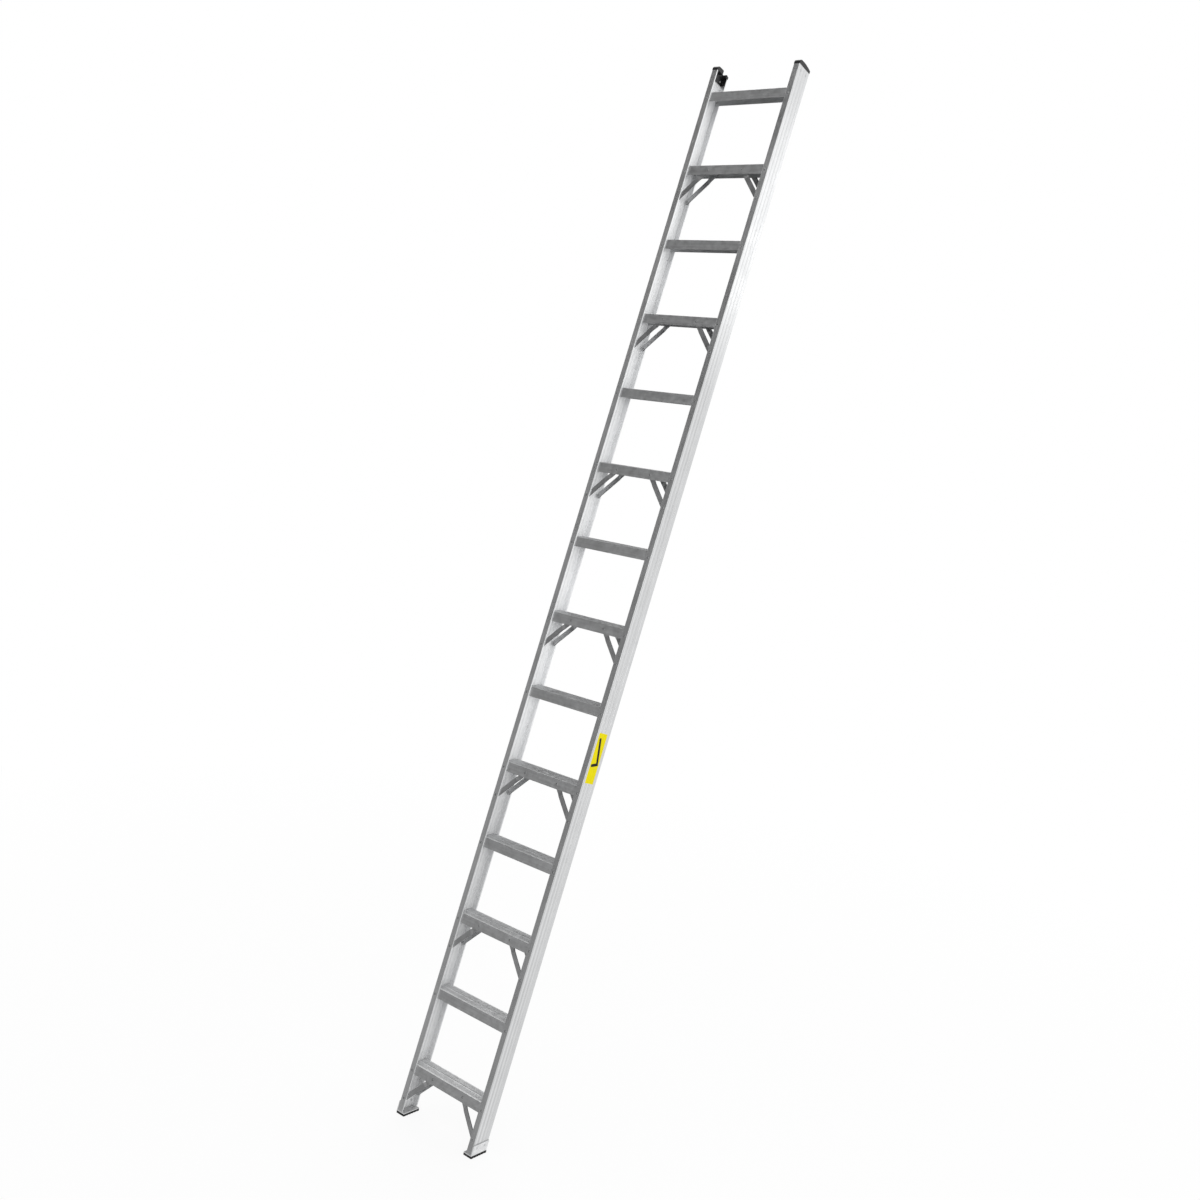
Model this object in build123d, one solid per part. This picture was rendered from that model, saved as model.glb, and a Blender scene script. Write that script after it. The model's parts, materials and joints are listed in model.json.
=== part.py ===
"""Single section straight ladder with flat treads, standing at its working lean. Millimetres, +Z up.

The ladder is first drawn along its rails: X runs across, Y from the climbing face to the back, and Z up
the rail, with Z = 0 where the top of the lowest tread would cut the climbing face. It is then leaned
back, and the origin is moved to the middle of the floor area under it.
"""
from build123d import *
import math
import os

# Ladder as a whole
tread_count = 14
braced_step = 2
tread_spacing = 304.8
lean_angle = 75.5
ladder_width = 406.4
lowest_tread_height = 194.0
rail_above_top_tread = 92.0

# Rail channel
rail_depth = 76.2
flange_width = 25.4
flange_thickness = 4.8
web_thickness = 2.4
rail_corner_radius = 1.6
flange_tip_radius = 1.0
channel_corner_radius = 0.8
bead_count = 3
bead_spacing = 19.05
bead_width = 3.2
bead_floor_width = 1.4
bead_depth = 0.6

# Tread channel
skirt_height = 38.1
skirt_thickness = 2.4
tread_top_thickness = 3.2
tread_edge_radius = 2.4
skirt_lip_radius = 0.9
tread_end_clearance = 2.5
middle_groove_width = 8.0
middle_groove_floor = 6.4
middle_groove_depth = 1.2
valley_count = 5
valley_pitch = 4.4
valley_width = 2.4
valley_floor = 1.4
valley_depth = 0.8
nosing_width = 7.2

# Braces
brace_width = 19.0
brace_thickness = 3.2
brace_head_reach = 81.5
brace_head_drop = 18.5
brace_foot_drop = 136.5
brace_foot_clearance = 0.7
joggle_clearance = 2.0
joggle_length = 12.0

# Rivets
rivet_diameter = 4.8
rivet_hole_clearance = 0.1
rivet_head_diameter = 9.6
rivet_head_height = 1.5
rivet_tail_diameter = 7.4
rivet_tail_height = 2.0
rivet_tail_chamfer = 0.5
tread_rivet_drop = 25.0

# Top caps
cap_overhang = 1.0
cap_front_height = 16.0
cap_middle_height = 17.5
cap_rear_height = 10.2
cap_front_radius = 12.0
cap_rear_radius = 5.0
cap_side_radius = 2.0
cap_wall = 3.0
cap_plug_depth = 29.0
cap_plug_clearance = 0.2
cap_notch_start = 38.0
cap_notch_length = 26.0
cap_notch_wall = 7.0
cap_rivet_drop = 18.6
cap_rivet_spacing = 38.1

# Feet
shoe_thickness = 3.2
shoe_plate_height = 47.0
shoe_reach = 36.8
shoe_bend_radius = 1.5
shoe_rivet_height = 35.0
shoe_rivet_spacing = 38.1
pad_thickness = 8.5
pad_overhang = 0.8
pad_corner_radius = 2.0
pad_groove_count = 5
pad_groove_pitch = 13.0
pad_groove_width = 3.0
pad_groove_depth = 1.5
pad_rivet_inset = 16.0
pad_rivet_spacing = 39.0
pad_rivet_recess = 2.2
pad_rivet_recess_clearance = 0.6

# Sticker on the outer face of the right rail
decal_length = 194.0
decal_width = 48.0
decal_thickness = 0.3
decal_corner_radius = 2.0
decal_top_below_top_tread = 2529.0
decal_front_inset = 11.2

# Worked out from the values above
level_rise = 1 / math.tan(math.radians(lean_angle))
lean_sine = math.sin(math.radians(lean_angle))
half_width = ladder_width / 2
skirt_front = flange_thickness
skirt_back = rail_depth - flange_thickness
tread_edge = skirt_front * level_rise
rear_lift = (skirt_back - skirt_front) * level_rise
web_standoff = max(channel_corner_radius, bead_depth)
tread_half_length = half_width - web_thickness - web_standoff - tread_end_clearance
brace_foot_reach = half_width - web_thickness - web_standoff - brace_foot_clearance - brace_width / 2
top_tread_edge = (tread_count - 1) * tread_spacing + tread_edge
rail_top = top_tread_edge + rail_above_top_tread
rail_start = -lowest_tread_height / lean_sine
sole_top = pad_thickness + shoe_thickness
foot_length = rail_depth / lean_sine
hole_radius = rivet_diameter / 2 + rivet_hole_clearance

across = (1, 0, 0)
backward = (0, 1, 0)
inward = (-1, 0, 0)
upward = (0, 0, 1)
leaned = Pos(0, 0, lowest_tread_height) * Rot(lean_angle - 90, 0, 0)
middle_depth = Plane(origin=(0, rail_depth / 2, 0), z_dir=backward)
corner_names = ["front_right", "rear_right", "front_left", "rear_left"]


# Placing and repeating

def tread_place(number):
    """Place of a tread along the rail, counted from 1 at the floor."""
    return Pos(0, 0, (number - 1) * tread_spacing)


def is_braced(number):
    """Every second tread has braces, starting with the lowest."""
    return (number - 1) % braced_step == 0


def on_left(shape):
    """The same shape on the left side of the ladder."""
    return mirror(shape, about=Plane.YZ)


def at_rear(shape):
    """The same shape at the back of a tread, lifted because the tread top is level."""
    return Pos(0, 0, rear_lift) * mirror(shape, about=middle_depth)


def four_corners(shape):
    """A shape at the right front of a tread and its copies, in the order of corner_names."""
    right = [shape, at_rear(shape)]
    return right + [on_left(item) for item in right]


def prism_across(face, start, end):
    """A face drawn in depth and height, swept across the ladder from start to end."""
    return extrude(Plane.YZ.offset(start) * face, amount=end - start, dir=across)


def front_edge(height):
    """Where the climbing face lies at a height above the floor."""
    return (height - lowest_tread_height) * level_rise


# Rivets and their holes

def rivet(origin, direction, grip):
    """A rivet with its round head outside the origin and its tail past the gripped thickness."""
    shank = rivet_diameter / 2
    head = rivet_head_diameter / 2
    tail = rivet_tail_diameter / 2
    tail_end = grip + rivet_tail_height
    dome_radius = (head**2 + rivet_head_height**2) / (2 * rivet_head_height)
    half_angle = math.asin(head / dome_radius) / 2
    dome_middle = (
        dome_radius * math.sin(half_angle),
        dome_radius * (1 - math.cos(half_angle)) - rivet_head_height,
    )
    dome = ThreePointArc((0, -rivet_head_height), dome_middle, (head, 0))
    body = Polyline(
        (head, 0),
        (shank, 0),
        (shank, grip),
        (tail, grip),
        (tail, tail_end - rivet_tail_chamfer),
        (tail - rivet_tail_chamfer, tail_end),
        (0, tail_end),
        (0, -rivet_head_height),
    )
    half_section = make_face([dome, *body.edges()])
    solid = revolve(Plane.XZ * half_section, axis=Axis.Z)
    return Plane(origin=origin, z_dir=direction) * solid


def hole(origin, direction, grip):
    """The hole for such a rivet, running past both ends of the gripped thickness."""
    margin = hole_radius
    pin = Cylinder(hole_radius, grip + 2 * margin, align=(Align.CENTER, Align.CENTER, Align.MIN))
    return Plane(origin=origin, z_dir=direction) * Pos(0, 0, -margin) * pin


def tread_fastening():
    """Origin, direction and grip of the rivet at the right front end of a tread."""
    origin = (half_width - flange_width / 2, 0, tread_edge - tread_rivet_drop)
    return origin, backward, flange_thickness + skirt_thickness


def brace_head_fastening():
    """Rivet through the front skirt and the upper end of the right brace."""
    origin = (brace_head_reach, skirt_front, tread_edge - brace_head_drop)
    return origin, backward, skirt_thickness + brace_thickness


def brace_foot_fastening():
    """Rivet through the front flange and the lower end of the right brace."""
    origin = (brace_foot_reach, 0, tread_edge - brace_foot_drop)
    return origin, backward, flange_thickness + brace_thickness


def cap_fastenings():
    """Rivets through the right web into the plug of the cap."""
    grip = web_thickness + bead_depth + cap_plug_clearance + cap_wall
    for side in (-1, 1):
        depth = rail_depth / 2 + side * cap_rivet_spacing / 2
        yield (half_width, depth, rail_top - cap_rivet_drop), inward, grip


def shoe_fastenings():
    """Rivets through the right shoe and web, level with each other, in the standing ladder."""
    grip = shoe_thickness + web_thickness + bead_depth
    for side in (-1, 1):
        depth = (rail_depth + side * shoe_rivet_spacing) / 2 / lean_sine
        origin = (half_width + shoe_thickness, front_edge(shoe_rivet_height) + depth, shoe_rivet_height)
        yield origin, inward, grip


def pad_fastenings():
    """Rivets through the right pad and sole plate, with their heads sunk in the pad."""
    grip = pad_thickness - pad_rivet_recess + shoe_thickness
    for side in (-1, 1):
        depth = front_edge(sole_top) + foot_length / 2 + side * pad_rivet_spacing / 2
        yield (half_width - pad_rivet_inset, depth, pad_rivet_recess), upward, grip


# Rails

def bead(web_face, depth):
    """Section of one lengthwise bead, sunk inward from a web face."""
    return Polygon(
        (web_face, depth - bead_width / 2),
        (web_face, depth + bead_width / 2),
        (web_face - bead_depth, depth + bead_floor_width / 2),
        (web_face - bead_depth, depth - bead_floor_width / 2),
        align=None,
    )


def rail_section():
    """Channel section of the right rail, seen along the rail."""
    block = Rectangle(flange_width, rail_depth, align=(Align.MAX, Align.MIN))
    block = fillet(block.vertices().group_by(Axis.X)[-1], rail_corner_radius)
    hollow_depth = rail_depth - 2 * flange_thickness
    hollow = Rectangle(flange_width, hollow_depth, align=(Align.MAX, Align.MIN))
    hollow = fillet(hollow.vertices().group_by(Axis.X)[-1], channel_corner_radius)
    section = block - Pos(-web_thickness, flange_thickness) * hollow
    section = fillet(section.vertices().group_by(Axis.X)[0], flange_tip_radius)
    for index in range(bead_count):
        depth = rail_depth / 2 + (index - (bead_count - 1) / 2) * bead_spacing
        section += bead(-web_thickness, depth)
        section -= bead(0, depth)
    return Pos(half_width, 0) * section


def right_rail():
    """The right rail in the standing ladder, cut level at the foot and square at the top."""
    holes = [hole(*fastening) for fastening in cap_fastenings()]
    for number in range(1, tread_count + 1):
        pins = [hole(*tread_fastening())]
        if is_braced(number):
            pins.append(hole(*brace_foot_fastening()))
        for pin in pins:
            holes.append(tread_place(number) * pin)
            holes.append(tread_place(number) * at_rear(pin))
    rail = extrude(Pos(0, 0, rail_start) * rail_section(), amount=rail_top - rail_start, dir=upward)
    ground = Box(ladder_width, ladder_width, ladder_width, align=(Align.CENTER, Align.CENTER, Align.MAX))
    shoe_holes = [hole(*fastening) for fastening in shoe_fastenings()]
    return leaned * (rail - holes) - Pos(half_width, 0, sole_top) * ground - shoe_holes


# Treads

def top_point(depth, drop):
    """A point in a tread's section, a drop below its level top."""
    return depth, depth * level_rise - drop


def notch(depth, width, floor_width, drop):
    """Outline of a groove in the tread top, from front to back."""
    return [
        top_point(depth - width / 2, 0),
        top_point(depth - floor_width / 2, drop),
        top_point(depth + floor_width / 2, drop),
        top_point(depth + width / 2, 0),
    ]


def tread_top_outline():
    """The ribbed top from front to back: a band of ribs, a wide groove and a second band."""
    middle = rail_depth / 2
    band_middle = (skirt_front + nosing_width + middle - middle_groove_width / 2) / 2
    offsets = [(index - (valley_count - 1) / 2) * valley_pitch for index in range(valley_count)]
    outline = []
    for offset in offsets:
        outline += notch(band_middle + offset, valley_width, valley_floor, valley_depth)
    outline += notch(middle, middle_groove_width, middle_groove_floor, middle_groove_depth)
    for offset in offsets:
        outline += notch(rail_depth - band_middle + offset, valley_width, valley_floor, valley_depth)
    return outline


def tread_section():
    """Section of a tread: level ribbed top and two skirts along the flanges."""
    inner_front = skirt_front + skirt_thickness
    inner_back = skirt_back - skirt_thickness
    section = Polygon(
        top_point(skirt_front, skirt_height),
        top_point(skirt_front, 0),
        *tread_top_outline(),
        top_point(skirt_back, 0),
        top_point(skirt_back, skirt_height),
        top_point(inner_back, skirt_height),
        top_point(inner_back, tread_top_thickness),
        top_point(inner_front, tread_top_thickness),
        top_point(inner_front, skirt_height),
        align=None,
    )
    for side in (0, -1):
        edge = section.vertices().group_by(Axis.X)[side]
        section = fillet(edge.sort_by(Axis.Y)[-1], tread_edge_radius)
        edge = section.vertices().group_by(Axis.X)[side]
        section = fillet(edge.sort_by(Axis.Y)[0], skirt_lip_radius)
    return section


def tread(with_braces):
    """A tread at the lowest place, with the holes for its own rivets."""
    holes = four_corners(hole(*tread_fastening()))
    if with_braces:
        holes += four_corners(hole(*brace_head_fastening()))
    return prism_across(tread_section(), -tread_half_length, tread_half_length) - holes


# Braces

def front_right_brace():
    """A strip from the front skirt to the front flange, set over by the skirt's thickness."""
    head = Vector(brace_head_reach, 0, tread_edge - brace_head_drop)
    foot = Vector(brace_foot_reach, 0, tread_edge - brace_foot_drop)
    run = foot - head
    end = brace_width / 2
    sine = -run.Z / run.length
    cosine = run.X / run.length
    below_skirt = (skirt_height - brace_head_drop + end * cosine) / sine
    joggle_start = below_skirt + joggle_clearance
    joggle_end = joggle_start + joggle_length
    on_skirt = skirt_front + skirt_thickness
    on_flange = flange_thickness
    ribbon = Polygon(
        (-end, on_skirt),
        (joggle_start, on_skirt),
        (joggle_end, on_flange),
        (run.length + end, on_flange),
        (run.length + end, on_flange + brace_thickness),
        (joggle_end, on_flange + brace_thickness),
        (joggle_start, on_skirt + brace_thickness),
        (-end, on_skirt + brace_thickness),
        align=None,
    )
    strip = extrude(ribbon, amount=brace_width / 2, both=True)
    outline = Plane.XZ * Pos(run.length / 2, 0) * SlotCenterToCenter(run.length, brace_width)
    rounded = strip & extrude(outline, amount=rail_depth, both=True)
    placed = Plane(origin=head, x_dir=run, z_dir=run.cross(Vector(backward))) * rounded
    return placed - hole(*brace_head_fastening()) - hole(*brace_foot_fastening())


# Top caps

def cap_head():
    """Domed head on the right rail end, high at the climbing face and open inside the channel."""
    front = -cap_overhang
    back = rail_depth + cap_overhang
    inner = half_width - flange_width - cap_overhang
    outer = half_width + cap_overhang
    crown = ThreePointArc(
        (front, cap_front_height),
        (rail_depth / 2, cap_middle_height),
        (back, cap_rear_height),
    )
    base = Polyline((back, cap_rear_height), (back, 0), (front, 0), (front, cap_front_height))
    profile = make_face([crown, *base.edges()])
    front_top = profile.vertices().group_by(Axis.X)[0].sort_by(Axis.Y)[-1]
    profile = fillet(front_top, cap_front_radius)
    back_top = profile.vertices().group_by(Axis.X)[-1].sort_by(Axis.Y)[-1]
    profile = fillet(back_top, cap_rear_radius)
    head = prism_across(profile, inner, outer)
    rims = head.faces().filter_by(Axis.X).edges() - head.faces().sort_by(Axis.Z)[0].edges()
    head = fillet(rims, cap_side_radius)
    past_crown = cap_front_height + cap_middle_height
    opening = Box(
        flange_width + cap_overhang - cap_notch_wall,
        cap_notch_length,
        past_crown * 2,
        align=(Align.MIN, Align.MIN, Align.CENTER),
    )
    return head - Pos(inner, cap_notch_start, 0) * opening


def cap_plug():
    """Lining of the channel below the head: a wall on the web and one on each flange."""
    back_face = half_width - web_thickness - bead_depth - cap_plug_clearance
    inner = half_width - flange_width
    front = flange_thickness + cap_plug_clearance
    width = back_face - inner
    depth = rail_depth - 2 * front
    low_corner = (Align.MIN, Align.MIN, Align.MAX)
    block = Pos(inner, front, 0) * Box(width, depth, cap_plug_depth, align=low_corner)
    room = Box(width - cap_wall, depth - 2 * cap_wall, cap_plug_depth, align=low_corner)
    return block - Pos(inner, front + cap_wall, 0) * room


def right_cap():
    """The right cap on the leaned rail."""
    cap = Pos(0, 0, rail_top) * (cap_head() + cap_plug())
    return leaned * (cap - [hole(*fastening) for fastening in cap_fastenings()])


# Feet

def right_shoe():
    """Bent plate: a side plate that follows the rail and a level sole plate under its end."""
    low_front = front_edge(sole_top)
    high_front = front_edge(shoe_plate_height)
    side_face = Polygon(
        (low_front, pad_thickness),
        (low_front, sole_top),
        (high_front, shoe_plate_height),
        (high_front + foot_length, shoe_plate_height),
        (low_front + foot_length, sole_top),
        (low_front + foot_length, pad_thickness),
        align=None,
    )
    side_plate = prism_across(side_face, half_width, half_width + shoe_thickness)
    sole_plate = Pos(half_width, low_front, pad_thickness) * Box(
        shoe_reach, foot_length, shoe_thickness, align=(Align.MAX, Align.MIN, Align.MIN)
    )
    shoe = side_plate + sole_plate
    bend = shoe.edges().filter_by(Axis.Y).group_by(Axis.Z)[0].sort_by(Axis.X)[-1]
    shoe = fillet(bend, shoe_bend_radius)
    holes = [hole(*fastening) for fastening in (*shoe_fastenings(), *pad_fastenings())]
    return shoe - holes


def right_pad():
    """Rubber sole a little larger than the sole plate, grooved underneath."""
    width = shoe_reach + shoe_thickness + 2 * pad_overhang
    length = foot_length + 2 * pad_overhang
    middle = front_edge(sole_top) + foot_length / 2
    outer = half_width + shoe_thickness + pad_overhang
    block = Box(width, length, pad_thickness, align=(Align.MAX, Align.CENTER, Align.MIN))
    block = fillet(block.edges().filter_by(Axis.Z), pad_corner_radius)
    pad = Pos(outer, middle, 0) * block
    for index in range(pad_groove_count):
        offset = (index - (pad_groove_count - 1) / 2) * pad_groove_pitch
        groove = Box(2 * width, pad_groove_width, 2 * pad_groove_depth)
        pad -= Pos(half_width, middle + offset, 0) * groove
    recess_radius = rivet_head_diameter / 2 + pad_rivet_recess_clearance
    for origin, direction, grip in pad_fastenings():
        recess = Cylinder(recess_radius, pad_rivet_recess, align=(Align.CENTER, Align.CENTER, Align.MAX))
        pad = pad - Pos(*origin) * recess - hole(origin, direction, grip)
    return pad


# Sticker

def angle_decal():
    """Thin sticker on the outer face of the right web."""
    top = top_tread_edge - decal_top_below_top_tread
    face = RectangleRounded(decal_width, decal_length, decal_corner_radius)
    placed = Pos(decal_front_inset + decal_width / 2, top - decal_length / 2) * face
    return leaned * prism_across(placed, half_width, half_width + decal_thickness)


# Assembly

def add_pair(nodes, name, shape):
    """Add a right-hand piece and its mirror image on the left."""
    nodes[f"right_{name}"] = shape
    nodes[f"left_{name}"] = on_left(shape)


def add_group(nodes, name, right_solids):
    """Add the rivets of the right side and their mirror images as one node."""
    nodes[name] = Compound(right_solids + [on_left(solid) for solid in right_solids])


def add_treads(nodes):
    """Add the treads and braces, and the rivets that hold them."""
    plain_tread = tread(with_braces=False)
    braced_tread = tread(with_braces=True)
    braces = four_corners(front_right_brace())
    tread_rivets = four_corners(rivet(*tread_fastening()))
    brace_rivets = four_corners(rivet(*brace_head_fastening())) + four_corners(rivet(*brace_foot_fastening()))
    all_tread_rivets = []
    all_brace_rivets = []
    for number in range(1, tread_count + 1):
        place = leaned * tread_place(number)
        all_tread_rivets += [place * item for item in tread_rivets]
        if not is_braced(number):
            nodes[f"tread_{number:02d}"] = place * plain_tread
            continue
        nodes[f"tread_{number:02d}"] = place * braced_tread
        all_brace_rivets += [place * item for item in brace_rivets]
        for corner, brace in zip(corner_names, braces):
            nodes[f"brace_{number:02d}_{corner}"] = place * brace
    nodes["tread_rivets"] = Compound(all_tread_rivets)
    nodes["brace_rivets"] = Compound(all_brace_rivets)


def build_ladder():
    """All pieces by name, in the standing ladder."""
    nodes = {}
    add_pair(nodes, "rail", right_rail())
    add_treads(nodes)
    add_pair(nodes, "cap", right_cap())
    add_pair(nodes, "shoe", right_shoe())
    add_pair(nodes, "pad", right_pad())
    add_group(nodes, "cap_rivets", [leaned * rivet(*fastening) for fastening in cap_fastenings()])
    add_group(nodes, "shoe_rivets", [rivet(*fastening) for fastening in shoe_fastenings()])
    add_group(nodes, "pad_rivets", [rivet(*fastening) for fastening in pad_fastenings()])
    nodes["angle_decal"] = angle_decal()
    return nodes


ladder = build_ladder()
covered = Compound(list(ladder.values())).bounding_box()
to_origin = Pos(-covered.center().X, -covered.center().Y, -covered.min.Z)
os.makedirs("parts", exist_ok=True)
for node_name, piece in ladder.items():
    export_step(to_origin * piece, f"parts/{node_name}.step")
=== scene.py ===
"""Looks of a straight ladder: materials, a mark on its sticker, a studio and the camera. Metres, +Z up."""
import json
import math

import bmesh
import bpy
from mathutils import Euler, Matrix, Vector


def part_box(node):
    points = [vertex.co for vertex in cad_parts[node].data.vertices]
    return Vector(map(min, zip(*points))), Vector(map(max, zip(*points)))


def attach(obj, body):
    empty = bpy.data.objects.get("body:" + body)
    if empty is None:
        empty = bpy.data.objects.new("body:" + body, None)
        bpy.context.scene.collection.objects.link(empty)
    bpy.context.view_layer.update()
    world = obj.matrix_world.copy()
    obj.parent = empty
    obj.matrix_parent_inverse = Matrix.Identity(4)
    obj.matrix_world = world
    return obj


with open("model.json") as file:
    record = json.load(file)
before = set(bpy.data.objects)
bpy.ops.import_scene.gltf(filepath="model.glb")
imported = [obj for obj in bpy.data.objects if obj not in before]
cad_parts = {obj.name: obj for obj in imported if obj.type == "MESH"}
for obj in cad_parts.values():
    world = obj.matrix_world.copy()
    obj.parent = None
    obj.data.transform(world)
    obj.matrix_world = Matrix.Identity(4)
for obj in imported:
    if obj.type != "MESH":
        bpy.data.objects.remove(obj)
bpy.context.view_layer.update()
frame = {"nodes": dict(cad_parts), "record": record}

# Camera, fitted to the edges of rails and treads in the photograph
camera_place = (3.2423, -3.9447, 2.6729)
camera_turn_degrees = (80.0385, -7.5749, 40.4177)
camera_lens_mm = 40.2424
camera_sensor_mm = 36.0
camera_shift_up = 0.0555

# The rails lean back about X, and their grain follows them
lean_angle = math.radians(75.5)
rail_turn = (lean_angle - math.pi / 2, 0, 0)
backward = (0, math.sin(lean_angle), -math.cos(lean_angle))
no_turn = (0, 0, 0)

# How squarely a face has to look one way to count as a web, a flat or a top
web_facing = 0.5
flat_facing = 0.7
top_facing = 0.8

# Depth behind the climbing face that parts the front flanges from the rear ones
mid_depth = 0.04

# In the rails' channels the web and the rear flange are more matt than outside, and painted lighter, more
# so with height: painted light
inside_metal = 0.15
inside_painted_light_low = 1.12
inside_painted_light_high = 1.5
inside_low_height = 1.2
inside_high_height = 1.6

# The rear flanges take a share of that, and least near the top, which paints shade under the top tread
# there
rear_flange_share = 0.85
rear_flange_shaded_top_share = 0.12
rear_flange_even_height = 2.3
rear_flange_top_height = 3.7

# Painted light: the front flanges are painted a little brighter on the left rail and towards the top
left_flange_painted_light = 1.16
top_flange_painted_light = 1.5
flange_even_height = 1.6
flange_top_height = 3.7

# Painted shade along each bead: the web is painted darker there than on the crest in front of it, most
# clearly near the climbing face
bead_spacing = 0.01905
bead_first_crest = 0.011
bead_shade_front = 0.125
bead_shade_rear = 0.025
bead_fade_start = 0.034
bead_fade_end = 0.056

# Towards the top of the rails, where the webs are lit brightest, the painted bead shade hardly shows
bead_full_height = 2.75
bead_faint_height = 3.3
bead_faint_shade = 0.25

# Painted light: the tops of the lower treads are painted paler and made more matt, most on the lowest
# tread
tread_light_full_height = 0.2
tread_light_end_height = 1.9
lit_tread_top_metal = 0.1
tread_top_painted_light = 1.2

# Painted shade: the braces' cut edges are painted darker than their faces
cut_edge_painted_shade = 0.25
# The tops of the shoes' soles are darker
sole_top_tone = 0.7

# Noise: its roughness, its usual number of finer layers, and the range that most of it lies in
noise_roughness = 0.6
noise_detail = 3.0
noise_low = 0.3
noise_high = 0.7

# Aluminium finishes, with the size of each mark along X, Y and Z before it is turned
rail_finish = {
    "colour": (0.645, 0.65, 0.655),
    "roughness": 0.30,
    "turn": rail_turn,
    "line_size": (0.0016, 0.0016, 0.5),
    "streak_size": (0.012, 0.012, 3.0),
    "streak_share": 0.05,
    "cloud_size": 0.14,
    "cloud_share": 0.05,
}
tread_finish = {
    "colour": (0.575, 0.58, 0.585),
    "roughness": 0.46,
    "turn": rail_turn,
    "line_size": (0.35, 0.0016, 0.0016),
    "streak_size": (0.30, 0.007, 0.007),
    "streak_share": 0.08,
    "cloud_size": 0.02,
    "cloud_share": 0.09,
}
brace_finish = {
    "colour": (0.50, 0.505, 0.51),
    "roughness": 0.38,
    "turn": rail_turn,
    "line_size": (0.003, 0.003, 0.06),
    "streak_size": (0.03, 0.03, 0.05),
    "streak_share": 0.06,
    "cloud_size": 0.05,
    "cloud_share": 0.07,
}
shoe_finish = {
    "colour": (0.74, 0.745, 0.75),
    "roughness": 0.55,
    "metal": 0.6,
    "turn": no_turn,
    "line_size": (0.004, 0.03, 0.004),
    "streak_size": (0.02, 0.08, 0.02),
    "streak_share": 0.05,
    "cloud_size": 0.02,
    "cloud_share": 0.10,
}
# Rivets on the flanges and skirts are darker than the rails: partly a duller finish, partly painted shade
# of their rims
shaded_rivet_finish = {
    "colour": (0.35, 0.354, 0.358),
    "roughness": 0.40,
    "turn": no_turn,
    "line_size": (0.002, 0.002, 0.002),
    "streak_size": (0.02, 0.02, 0.02),
    "streak_share": 0.05,
    "cloud_size": 0.01,
    "cloud_share": 0.08,
}

# The rivets through the webs and soles are nearly as bright as the rails, without the painted shade of the
# others
unshaded_rivets = ("cap_rivets", "shoe_rivets", "pad_rivets")
unshaded_rivet_finish = {**shaded_rivet_finish, "colour": (0.56, 0.565, 0.57)}

# Marks that all the aluminium has in common: die lines, cloudy patches and small scuffs
line_tones = (0.95, 1.04)
line_relief = 0.00008
cloud_detail = 5.0
cloud_roughness_low = -0.06
cloud_roughness_high = 0.08
scuff_size = (0.011, 0.007, 0.016)
scuff_detail = 6.0
scuff_range = (0.58, 0.72)
scuff_tone = 0.93
scuff_roughness = 0.10

# Moulded plastic of the caps
plastic_colour = (0.007, 0.007, 0.0075)
plastic_roughness = 0.42
plastic_grain_size = 0.0007
plastic_relief = 0.00006
plastic_scuff_size = (0.012, 0.006, 0.009)
plastic_scuff_detail = 6.0
plastic_scuff_range = (0.60, 0.74)
plastic_scuff_tone = 2.2
plastic_scuff_roughness = 0.14

# Rubber of the pads, with a gloss of which plain plastic has 0.5
rubber_colour = (0.014, 0.014, 0.014)
rubber_roughness = 0.78
rubber_gloss = 0.25
rubber_grain_size = 0.0011
rubber_grain_detail = 4.0
rubber_relief = 0.00012
dust_size = (0.018, 0.018, 0.006)
dust_detail = 6.0
dust_tones = (0.8, 1.9)
dust_roughness_low = -0.05
dust_roughness_high = 0.1

# Film and ink of the sticker, with a gloss on the same scale
film_colour = (0.82, 0.705, 0.0)
film_roughness = 0.5
ink_colour = (0.012, 0.012, 0.012)
ink_roughness = 0.35
film_gloss = 0.12
film_mark_size = (0.02, 0.02, 0.03)
film_mark_detail = 5.0
film_mark_tones = (0.95, 1.04)
film_mark_roughness = 0.12
ripple_size = 0.006
ripple_relief = 0.00004

# Mark printed on the sticker, a plumb bar on a level bar, in Y and Z from the sticker's middle
mark_width = 0.0115
mark_thickness = 0.0001
plumb_bar_top = (0.0095, 0.073)
mark_corner = (0.008, -0.024)
level_bar_end = (-0.021, -0.024)
mark_end_steps = 8

# Background and floor, which glows most where it fades into the background
white = (1.0, 1.0, 1.0, 1.0)
ambient_strength = 0.9
floor_half_size = 60.0
floor_colour = (0.86, 0.86, 0.86, 1.0)
floor_glow_near = 0.88
floor_fade_start = 1.5
floor_fade_end = 5.0

# Side card, to the left of the ladder with a gap in it, darker towards its back and its top
card_distance = 3.0
card_length = 20.0
card_height = 14.0
card_gap_front = -0.4
card_gap_back = 1.1
card_front_grey = 0.34
card_back_grey = 0.17
card_grey_reach = 4.0
card_top_share = 0.1
card_fade_height = 10.0

# Cards on the floor, in front of the ladder and behind it
floor_card_lift = 0.001
floor_card_reach = 0.3
floor_card_back = -0.6
floor_card_grey = 0.34
back_card_reach = 0.35
back_card_front = 0.7
back_card_grey = 0.12

# Lamps, with their power in watts
lamps = {
    "side_light": {"place": (3.7, 5.2, 4.4), "target": (0.2, 0.3, 3.0), "size": 1.5, "power": 9.0},
    "top_light": {"place": (-1.4, 2.6, 7.0), "target": (0.0, -0.2, 1.2), "size": 3.0, "power": 70.0},
    "front_light": {"place": (4.6, -2.6, 2.6), "target": (0.0, 0.0, 2.0), "size": 2.5, "power": 38.0},
}


# Shader building blocks

def set_inputs(tree, node, inputs):
    """Sets a node's inputs to plain values, or links them to sockets."""
    for name, value in inputs.items():
        if isinstance(value, bpy.types.NodeSocket):
            tree.links.new(value, node.inputs[name])
        else:
            node.inputs[name].default_value = value


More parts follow.
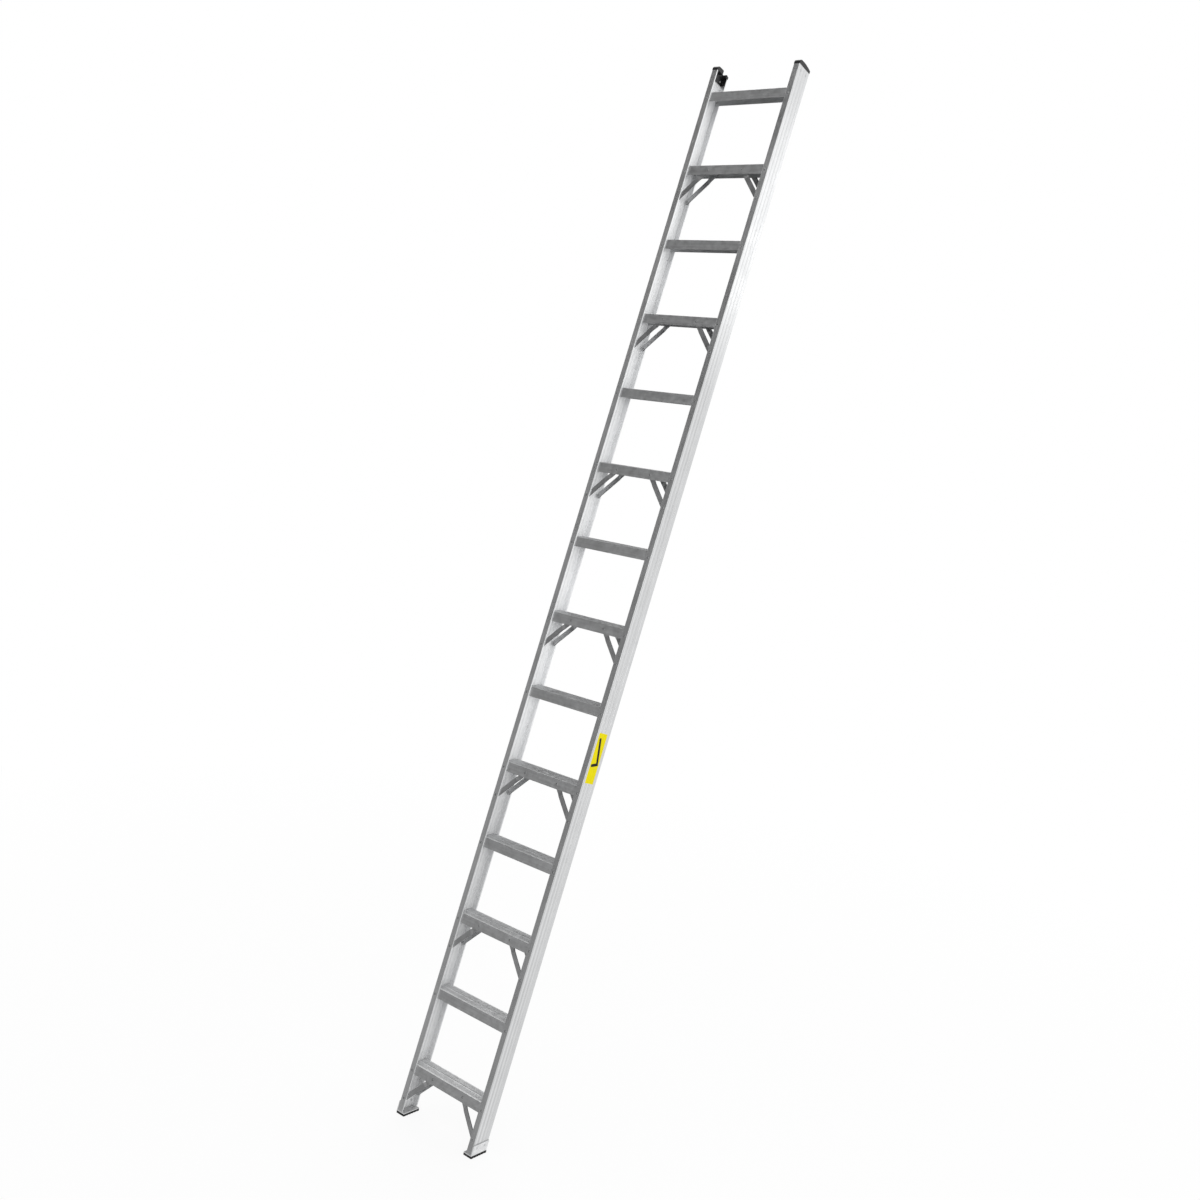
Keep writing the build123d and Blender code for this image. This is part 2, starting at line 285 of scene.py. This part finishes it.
def add_node(tree, kind, inputs=None, **settings):
    """A new shader node with its settings and its inputs."""
    made = tree.nodes.new(kind)
    for name, value in settings.items():
        setattr(made, name, value)
    set_inputs(tree, made, inputs or {})
    return made


def new_surface(name):
    """A material with one Principled shader, its tree and the shader."""
    material = bpy.data.materials.new(name)
    material.use_nodes = True
    shader = material.node_tree.nodes["Principled BSDF"]
    return material, material.node_tree, shader


def bare_tree(owner):
    """The emptied tree of a material or a world."""
    owner.use_nodes = True
    owner.node_tree.nodes.clear()
    return owner.node_tree


def spread(tree, value, low, high, start=noise_low, end=noise_high):
    """A value between start and end, spread over low to high."""
    ranged = add_node(
        tree,
        "ShaderNodeMapRange",
        {"Value": value, "From Min": start, "From Max": end, "To Min": low, "To Max": high},
    )
    return ranged.outputs["Result"]


def blend(tree, share, none, full):
    """A value that goes from none to full as a share goes from 0 to 1."""
    return spread(tree, share, none, full, 0.0, 1.0)


def vary(tree, noise, share):
    """A factor that noise varies by a share to either side of 1."""
    return spread(tree, noise, 1.0 - share, 1.0 + share)


def combine(tree, operation, *values):
    """One or two values put through a calculation."""
    return add_node(tree, "ShaderNodeMath", dict(enumerate(values)), operation=operation).outputs["Value"]


def product(tree, first, *others):
    """Values multiplied together."""
    result = first
    for other in others:
        result = combine(tree, "MULTIPLY", result, other)
    return result


def shade(tree, colour, factor):
    """A colour made darker or lighter by a factor that varies over the surface."""
    scaled = add_node(tree, "ShaderNodeVectorMath", {0: colour, "Scale": factor}, operation="SCALE")
    return scaled.outputs["Vector"]


def relief(tree, height, distance):
    """Normals of fine relief, from a height that varies over the surface."""
    return add_node(tree, "ShaderNodeBump", {"Height": height, "Distance": distance}).outputs["Normal"]


def surface_place(tree):
    """Place on the surface, in the frame that all pieces share."""
    return add_node(tree, "ShaderNodeTexCoord").outputs["Object"]


def surface_normal(tree):
    """Direction that the surface looks in."""
    return add_node(tree, "ShaderNodeNewGeometry").outputs["Normal"]


def axis_of(tree, vector, axis):
    """One axis of a vector."""
    return add_node(tree, "ShaderNodeSeparateXYZ", {"Vector": vector}).outputs[axis]


def grain(tree, size, turn=no_turn, detail=noise_detail):
    """Noise from 0 to 1 whose grains have a size along each axis, in a frame turned about X."""
    stretched = add_node(
        tree,
        "ShaderNodeMapping",
        {"Vector": surface_place(tree), "Rotation": turn, "Scale": size},
        vector_type="TEXTURE",
    )
    noise = add_node(tree, "ShaderNodeTexNoise", {
        "Vector": stretched.outputs["Vector"],
        "Scale": 1.0,
        "Detail": detail,
        "Roughness": noise_roughness,
    })
    return noise.outputs["Fac"]


# Places on the ladder

def over_height(tree, low_value, high_value, low_height, high_height):
    """A value that changes between two heights above the floor."""
    height = axis_of(tree, surface_place(tree), "Z")
    return spread(tree, height, low_value, high_value, low_height, high_height)


def depth_in_rail(tree):
    """Depth behind the climbing face of the rails, which the low corner of their box lies on."""
    low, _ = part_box("right_rail")
    offset = add_node(tree, "ShaderNodeVectorMath", {0: surface_place(tree), 1: low}, operation="SUBTRACT")
    depth = add_node(
        tree,
        "ShaderNodeVectorMath",
        {0: offset.outputs["Vector"], 1: backward},
        operation="DOT_PRODUCT",
    )
    return depth.outputs["Value"]


def outward_facing(tree):
    """1 on faces that look away from the other rail, -1 on faces that look at it, and 0 on the flanges."""
    side = combine(tree, "SIGN", axis_of(tree, surface_place(tree), "X"))
    return product(tree, axis_of(tree, surface_normal(tree), "X"), side)


def backward_facing(tree):
    """1 on faces that look to the back of the ladder, and -1 on faces that look to the climber."""
    facing = add_node(
        tree,
        "ShaderNodeVectorMath",
        {0: surface_normal(tree), 1: backward},
        operation="DOT_PRODUCT",
    )
    return facing.outputs["Value"]


def front_face(tree):
    """1 on faces that look to the climber, and 0 on other faces."""
    return combine(tree, "LESS_THAN", backward_facing(tree), -flat_facing)


def top_face(tree):
    """1 on faces that look up, and 0 on other faces."""
    return combine(tree, "GREATER_THAN", axis_of(tree, surface_normal(tree), "Z"), top_facing)


def inside_channel(tree):
    """1 on the inner face of the web, a share of that on the front of the rear flange that falls near the
    top as painted shade, and 0 elsewhere.
    """
    inner_web = combine(tree, "LESS_THAN", outward_facing(tree), -web_facing)
    deep = combine(tree, "GREATER_THAN", depth_in_rail(tree), mid_depth)
    share = over_height(
        tree,
        rear_flange_share,
        rear_flange_shaded_top_share,
        rear_flange_even_height,
        rear_flange_top_height,
    )
    return combine(tree, "MAXIMUM", inner_web, product(tree, deep, front_face(tree), share))


# Painted light and shade on the rails

def channel_painted_light(tree, inside):
    """Painted light in the channels, which grows with height, and 1 outside them."""
    brightness = over_height(
        tree,
        inside_painted_light_low,
        inside_painted_light_high,
        inside_low_height,
        inside_high_height,
    )
    return blend(tree, inside, 1.0, brightness)


def front_flange_painted_light(tree):
    """Painted light on the front flanges, which differs with side and height, and 1 on other faces."""
    shallow = combine(tree, "LESS_THAN", depth_in_rail(tree), mid_depth)
    left = combine(tree, "LESS_THAN", axis_of(tree, surface_place(tree), "X"), 0.0)
    by_side = blend(tree, left, 1.0, left_flange_painted_light)
    by_height = over_height(tree, 1.0, top_flange_painted_light, flange_even_height, flange_top_height)
    on_front_flange = product(tree, front_face(tree), shallow)
    return blend(tree, on_front_flange, 1.0, product(tree, by_side, by_height))


def bead_painted_shade(tree):
    """Painted shade across the webs: darker along the beads and lighter on the crests, and even on the
    flanges.
    """
    depth = depth_in_rail(tree)
    past_crest = combine(tree, "SUBTRACT", depth, bead_first_crest)
    wave = combine(tree, "COSINE", product(tree, past_crest, 2 * math.pi / bead_spacing))
    by_depth = spread(tree, depth, bead_shade_front, bead_shade_rear, bead_fade_start, bead_fade_end)
    by_height = over_height(tree, 1.0, bead_faint_shade, bead_full_height, bead_faint_height)
    on_web = combine(tree, "GREATER_THAN", combine(tree, "ABSOLUTE", outward_facing(tree)), web_facing)
    return combine(tree, "ADD", product(tree, wave, by_depth, by_height, on_web), 1.0)


# Painted light and shade of rails, treads and braces, and darker sole tops on the shoes, as tone and share
# of metal

def rail_matt_and_painted_light(tree, metal):
    """More matt in the channels, with painted light on the channels and front flanges and painted shade
    along the beads.
    """
    inside = inside_channel(tree)
    tone = product(tree, channel_painted_light(tree, inside), front_flange_painted_light(tree), bead_painted_shade(tree))
    return tone, blend(tree, inside, metal, inside_metal)


def tread_painted_light(tree, metal):
    """Painted light: paler and more matt on the tops, most of all on the lowest tread."""
    lit_tread_top = product(tree, top_face(tree), over_height(tree, 1.0, 0.0, tread_light_full_height, tread_light_end_height))
    return blend(tree, lit_tread_top, 1.0, tread_top_painted_light), blend(tree, lit_tread_top, metal, lit_tread_top_metal)


def brace_painted_shade(tree, metal):
    """Painted shade: darker on the cut edges than on faces that look forward or back."""
    flat = combine(tree, "GREATER_THAN", combine(tree, "ABSOLUTE", backward_facing(tree)), flat_facing)
    return blend(tree, flat, cut_edge_painted_shade, 1.0), metal


def sole_top_darkening(tree, metal):
    """Darker on top of the soles."""
    return blend(tree, top_face(tree), 1.0, sole_top_tone), metal


# Materials

def aluminium(name, colour, roughness, turn, line_size, streak_size, streak_share, cloud_size, cloud_share,
              metal=1.0, tone_and_metal=None):
    """Mill-finish aluminium: die lines and broad streaks along the extrusion, clouds and small scuffs."""
    material, tree, shader = new_surface(name)
    lines = grain(tree, line_size, turn)
    streaks = grain(tree, streak_size, turn)
    clouds = grain(tree, (cloud_size,) * 3, detail=cloud_detail)
    scuffs = spread(tree, grain(tree, scuff_size, turn, scuff_detail), 0.0, 1.0, *scuff_range)
    tone = product(
        tree,
        spread(tree, lines, *line_tones),
        vary(tree, clouds, cloud_share),
        vary(tree, streaks, streak_share),
        blend(tree, scuffs, 1.0, scuff_tone),
    )
    # Painted light and shade for rails, treads and braces, and darker sole tops for shoes, with the share
    # of metal
    if tone_and_metal:
        extra_tone, metal = tone_and_metal(tree, metal)
        tone = product(tree, tone, extra_tone)
    cloudy = spread(tree, clouds, roughness + cloud_roughness_low, roughness + cloud_roughness_high)
    set_inputs(tree, shader, {
        "Base Color": shade(tree, colour, tone),
        "Metallic": metal,
        "Roughness": combine(tree, "ADD", cloudy, blend(tree, scuffs, 0.0, scuff_roughness)),
        "Normal": relief(tree, lines, line_relief),
    })
    return material


def moulded_plastic(name, colour, roughness):
    """Black moulded plastic with a fine spark-eroded grain and a few paler scuffs."""
    material, tree, shader = new_surface(name)
    fine = grain(tree, (plastic_grain_size,) * 3)
    patches = grain(tree, plastic_scuff_size, detail=plastic_scuff_detail)
    scuffs = spread(tree, patches, 0.0, 1.0, *plastic_scuff_range)
    set_inputs(tree, shader, {
        "Base Color": shade(tree, colour, blend(tree, scuffs, 1.0, plastic_scuff_tone)),
        "Roughness": blend(tree, scuffs, roughness, roughness + plastic_scuff_roughness),
        "Normal": relief(tree, fine, plastic_relief),
    })
    return material


def rubber(name, colour, roughness):
    """Dull black rubber, dusty in patches."""
    material, tree, shader = new_surface(name)
    fine = grain(tree, (rubber_grain_size,) * 3, detail=rubber_grain_detail)
    dust = grain(tree, dust_size, detail=dust_detail)
    set_inputs(tree, shader, {
        "Base Color": shade(tree, colour, spread(tree, dust, *dust_tones)),
        "Roughness": spread(tree, dust, roughness + dust_roughness_low, roughness + dust_roughness_high),
        "Specular IOR Level": rubber_gloss,
        "Normal": relief(tree, fine, rubber_relief),
    })
    return material


def printed_film(name, colour, roughness):
    """Sticker film: an even colour with faint handling marks and a slight ripple."""
    material, tree, shader = new_surface(name)
    marks = grain(tree, film_mark_size, rail_turn, film_mark_detail)
    ripple = grain(tree, (ripple_size,) * 3)
    set_inputs(tree, shader, {
        "Base Color": shade(tree, colour, spread(tree, marks, *film_mark_tones)),
        "Roughness": spread(tree, marks, roughness, roughness + film_mark_roughness),
        "Specular IOR Level": film_gloss,
        "Normal": relief(tree, ripple, ripple_relief),
    })
    return material


def make_materials():
    """One material for each material slot of the record, one for the rivets without painted shade, and the
    sticker's ink.
    """
    return {
        "rail_aluminium": aluminium("rail_aluminium", **rail_finish, tone_and_metal=rail_matt_and_painted_light),
        "tread_aluminium": aluminium("tread_aluminium", **tread_finish, tone_and_metal=tread_painted_light),
        "brace_aluminium": aluminium("brace_aluminium", **brace_finish, tone_and_metal=brace_painted_shade),
        "shoe_aluminium": aluminium("shoe_aluminium", **shoe_finish, tone_and_metal=sole_top_darkening),
        "rivet_aluminium": aluminium("rivet_aluminium", **shaded_rivet_finish),
        "unshaded_rivet_aluminium": aluminium("unshaded_rivet_aluminium", **unshaded_rivet_finish),
        "cap_plastic": moulded_plastic("cap_plastic", plastic_colour, plastic_roughness),
        "pad_rubber": rubber("pad_rubber", rubber_colour, rubber_roughness),
        "decal_film": printed_film("decal_film", film_colour, film_roughness),
        "decal_ink": printed_film("decal_ink", ink_colour, ink_roughness),
    }


def dress_nodes(materials):
    """Gives each CAD node the material of its slot, and the rivets without painted shade their own."""
    slot_of = {part["node"]: part["material_slot"] for part in frame["record"]["subparts"]}
    for name, node in frame["nodes"].items():
        node.data.materials.clear()
        node.data.materials.append(materials[slot_of[name]])
    for name in unshaded_rivets:
        frame["nodes"][name].data.materials[0] = materials["unshaded_rivet_aluminium"]


# Mark on the sticker

def round_end(centre, outward):
    """Half circle of points round the end of a bar, from one side of the bar to the other."""
    aside = Vector((outward.y, -outward.x))
    points = []
    for step in range(mark_end_steps + 1):
        angle = math.pi * step / mark_end_steps
        points.append(centre + (math.cos(angle) * aside + math.sin(angle) * outward) * mark_width / 2)
    return points


def mark_outline():
    """Outline of the mark, with round ends and a mitred corner."""
    top = Vector(plumb_bar_top)
    corner = Vector(mark_corner)
    end = Vector(level_bar_end)
    up = (top - corner).normalized()
    out = (end - corner).normalized()
    sine_of_bend = abs(up.x * out.y - up.y * out.x)
    inner_corner = (up + out) * mark_width / 2 / sine_of_bend
    return [*round_end(top, up), corner + inner_corner, *round_end(end, out), corner - inner_corner]


def add_mark(name, material):
    """The thin printed mark on the outer face of the sticker."""
    low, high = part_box("angle_decal")
    middle = (low + high) / 2
    mesh = bpy.data.meshes.new(name)
    shape = bmesh.new()
    corners = []
    for point in mark_outline():
        corners.append(shape.verts.new((high.x, middle.y + point.x, middle.z + point.y)))
    face = shape.faces.new(corners)
    face.normal_update()
    raised = bmesh.ops.extrude_face_region(shape, geom=[face])["geom"]
    top = [item for item in raised if isinstance(item, bmesh.types.BMVert)]
    bmesh.ops.translate(shape, verts=top, vec=(mark_thickness, 0, 0))
    bmesh.ops.recalc_face_normals(shape, faces=shape.faces)
    shape.to_mesh(mesh)
    shape.free()
    mesh.materials.append(material)
    mark = bpy.data.objects.new(name, mesh)
    bpy.context.scene.collection.objects.link(mark)
    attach(mark, "root")


# Studio

def background_rays(tree):
    """1 for the rays that see the white background: camera, glossy and transmission rays."""
    path = add_node(tree, "ShaderNodeLightPath").outputs
    seen = combine(tree, "MAXIMUM", path["Is Camera Ray"], path["Is Glossy Ray"])
    return combine(tree, "MAXIMUM", seen, path["Is Transmission Ray"])


def make_world():
    """White to look at and in reflections, softer as a light."""
    world = bpy.data.worlds.new("studio")
    tree = bare_tree(world)
    strength = blend(tree, background_rays(tree), ambient_strength, 1.0)
    glow = add_node(tree, "ShaderNodeBackground", {"Color": white, "Strength": strength})
    add_node(tree, "ShaderNodeOutputWorld", {"Surface": glow.outputs["Background"]})
    bpy.context.scene.world = world


def floor_material():
    """Pale floor that takes the ladder's shadow and fades to the white background further out."""
    material = bpy.data.materials.new("floor")
    tree = bare_tree(material)
    distance = add_node(tree, "ShaderNodeVectorMath", {0: surface_place(tree)}, operation="LENGTH")
    far = spread(tree, distance.outputs["Value"], floor_glow_near, 1.0, floor_fade_start, floor_fade_end)
    glow_share = product(tree, far, background_rays(tree))
    matt = add_node(tree, "ShaderNodeBsdfDiffuse", {"Color": floor_colour})
    glow = add_node(tree, "ShaderNodeEmission", {"Color": white, "Strength": 1.0})
    mixed = add_node(
        tree,
        "ShaderNodeMixShader",
        {0: glow_share, 1: matt.outputs["BSDF"], 2: glow.outputs["Emission"]},
    )
    add_node(tree, "ShaderNodeOutputMaterial", {"Surface": mixed.outputs["Shader"]})
    return material


def end_in_glow(tree, grey):
    """Ends a card's tree in a glow, which makes the card look grey in the metal."""
    glow = add_node(tree, "ShaderNodeEmission", {"Color": white, "Strength": grey})
    add_node(tree, "ShaderNodeOutputMaterial", {"Surface": glow.outputs["Emission"]})


def side_card_material():
    """Grey card, darker towards its back and its top."""
    material = bpy.data.materials.new("side_card")
    tree = bare_tree(material)
    along = axis_of(tree, surface_place(tree), "Y")
    grey = spread(tree, along, card_front_grey, card_back_grey, -card_grey_reach, card_grey_reach)
    by_height = over_height(tree, 1.0, card_top_share, 0.0, card_fade_height)
    end_in_glow(tree, product(tree, grey, by_height))
    return material


def even_card_material(name, grey):
    """Grey card with an even tone."""
    material = bpy.data.materials.new(name)
    end_in_glow(bare_tree(material), grey)
    return material


def add_sheet(name, corners, material):
    """A flat four-cornered sheet of the studio."""
    mesh = bpy.data.meshes.new(name)
    mesh.from_pydata(corners, [], [(0, 1, 2, 3)])
    mesh.materials.append(material)
    sheet = bpy.data.objects.new(name, mesh)
    bpy.context.scene.collection.objects.link(sheet)
    return sheet


def level_sheet(name, x_range, y_range, height, material):
    """A flat rectangular sheet at a height."""
    (west, east), (south, north) = x_range, y_range
    corners = [(west, south, height), (east, south, height), (east, north, height), (west, north, height)]
    return add_sheet(name, corners, material)


def upright_sheet(name, x, y_range, height, material):
    """A flat rectangular sheet that stands on the floor and faces across the ladder."""
    south, north = y_range
    corners = [(x, south, 0.0), (x, north, 0.0), (x, north, height), (x, south, height)]
    return add_sheet(name, corners, material)


def add_floor():
    """Floor under the ladder."""
    reach = (-floor_half_size, floor_half_size)
    level_sheet("floor", reach, reach, 0.0, floor_material())


def add_grey_cards():
    """Cards to the left of the ladder and on the floor, which only reflections in metal see."""
    far = -card_distance
    y = card_length / 2
    side_grey = side_card_material()
    cards = [
        upright_sheet("front_side_card", far, (-y, card_gap_front), card_height, side_grey),
        upright_sheet("back_side_card", far, (card_gap_back, y), card_height, side_grey),
        level_sheet(
            "floor_card",
            (far, floor_card_reach),
            (-y, floor_card_back),
            floor_card_lift,
            even_card_material("floor_card", floor_card_grey),
        ),
        level_sheet(
            "back_card",
            (far, back_card_reach),
            (back_card_front, y),
            floor_card_lift,
            even_card_material("back_card", back_card_grey),
        ),
    ]
    for card in cards:
        card.visible_camera = False
        card.visible_diffuse = False
        card.visible_transmission = False
        card.visible_shadow = False


def add_softbox(name, place, target, size, power):
    """A square area lamp that faces a target."""
    lamp = bpy.data.lights.new(name, "AREA")
    lamp.size = size
    lamp.energy = power
    softbox = bpy.data.objects.new(name, lamp)
    softbox.location = place
    softbox.rotation_euler = (Vector(target) - Vector(place)).to_track_quat("-Z", "Y").to_euler()
    softbox.visible_camera = False
    bpy.context.scene.collection.objects.link(softbox)


def add_camera():
    """Camera at the photograph's viewpoint."""
    lens = bpy.data.cameras.new("camera")
    lens.lens = camera_lens_mm
    lens.sensor_width = camera_sensor_mm
    lens.sensor_fit = "HORIZONTAL"
    lens.shift_y = camera_shift_up
    camera = bpy.data.objects.new("camera", lens)
    camera.location = camera_place
    camera.rotation_euler = Euler([math.radians(angle) for angle in camera_turn_degrees], "XYZ")
    bpy.context.scene.collection.objects.link(camera)
    bpy.context.scene.camera = camera


materials = make_materials()
dress_nodes(materials)
add_mark("angle_mark", materials["decal_ink"])
make_world()
add_floor()
add_grey_cards()
for lamp_name, lamp_values in lamps.items():
    add_softbox(lamp_name, **lamp_values)
add_camera()
bpy.context.scene.view_settings.view_transform = "Standard"
